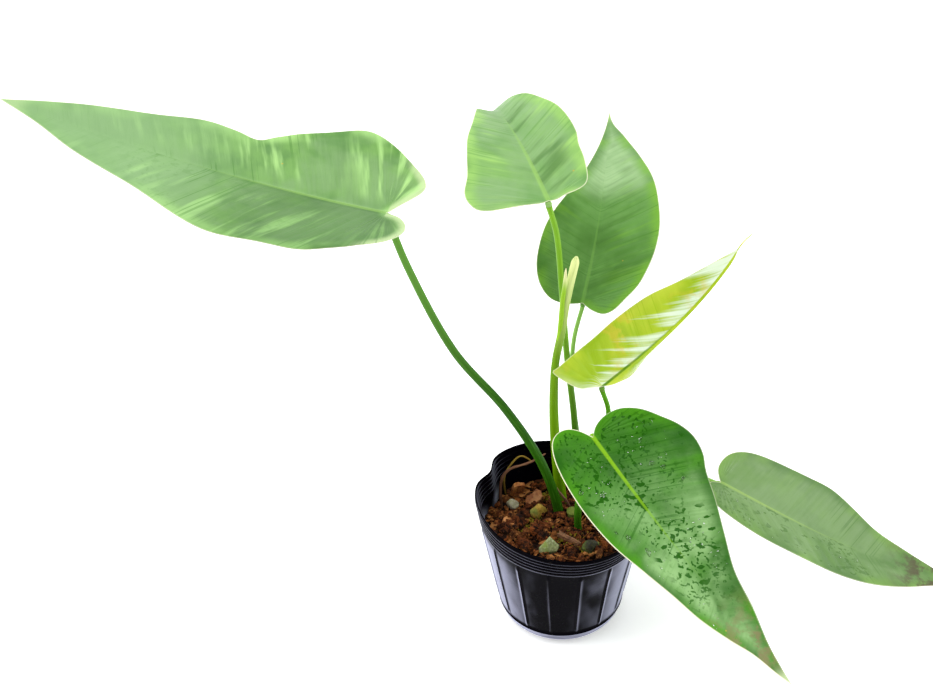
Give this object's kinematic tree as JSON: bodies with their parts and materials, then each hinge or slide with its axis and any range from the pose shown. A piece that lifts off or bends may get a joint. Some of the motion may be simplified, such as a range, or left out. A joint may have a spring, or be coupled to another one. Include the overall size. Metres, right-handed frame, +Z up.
{
  "type": "potted celestial bird philodendron",
  "caption": "Young aroid house plant with long wavy arrow-shaped leaves on slim arching stalks, a rolled new leaf, and a soft ribbed nursery pot of bark and coir.",
  "frame": {"origin": "middle of the pot's foot ring, on the surface that the pot stands on", "axes": "+Z up, -Y towards the viewer of the picture, +X to the viewer's right"},
  "size_m": [0.5393, 0.3991, 0.3464],
  "materials": {
    "pot": "smooth thin black plastic, half glossy",
    "soil": "damp coir, bark crumbs and fine roots",
    "stem": "dull green, ringed with pale leaf scars",
    "shoot": "smooth yellow-green, cream at the tip",
    "petiole": "smooth satin dark green",
    "leaf": "satin green with paler bands between the side veins, pale midrib and thin cream margin",
    "leaf_young": "glossy yellow-green",
    "stone": "rough pale pumice, stained yellow and green",
    "bark": "rough orange-brown bark",
    "twig": "dry brown fibre"
  },
  "bodies": {
    "root": {"pot": "pot", "soil": "soil", "stem": "stem", "shoot_sheath": "shoot", "rolled_leaf": "leaf_young", "petiole_left": "petiole", "petiole_top": "petiole", "petiole_back": "petiole", "petiole_young": "petiole", "petiole_front": "petiole", "petiole_low": "petiole", "blade_left": "leaf", "blade_top": "leaf", "blade_back": "leaf", "blade_young": "leaf_young", "blade_front": "leaf", "blade_low": "leaf", "yellow_stone": "stone", "pale_green_stone": "stone", "white_stone": "stone", "mossy_stone": "stone", "chalky_stone": "stone", "upright_chip": "bark", "flat_chip": "bark", "side_chip": "bark", "long_sliver": "bark", "right_chip": "bark", "twig": "twig", "rootlet": "twig", "dry_sheath": "twig"}
  },
  "joints": []
}
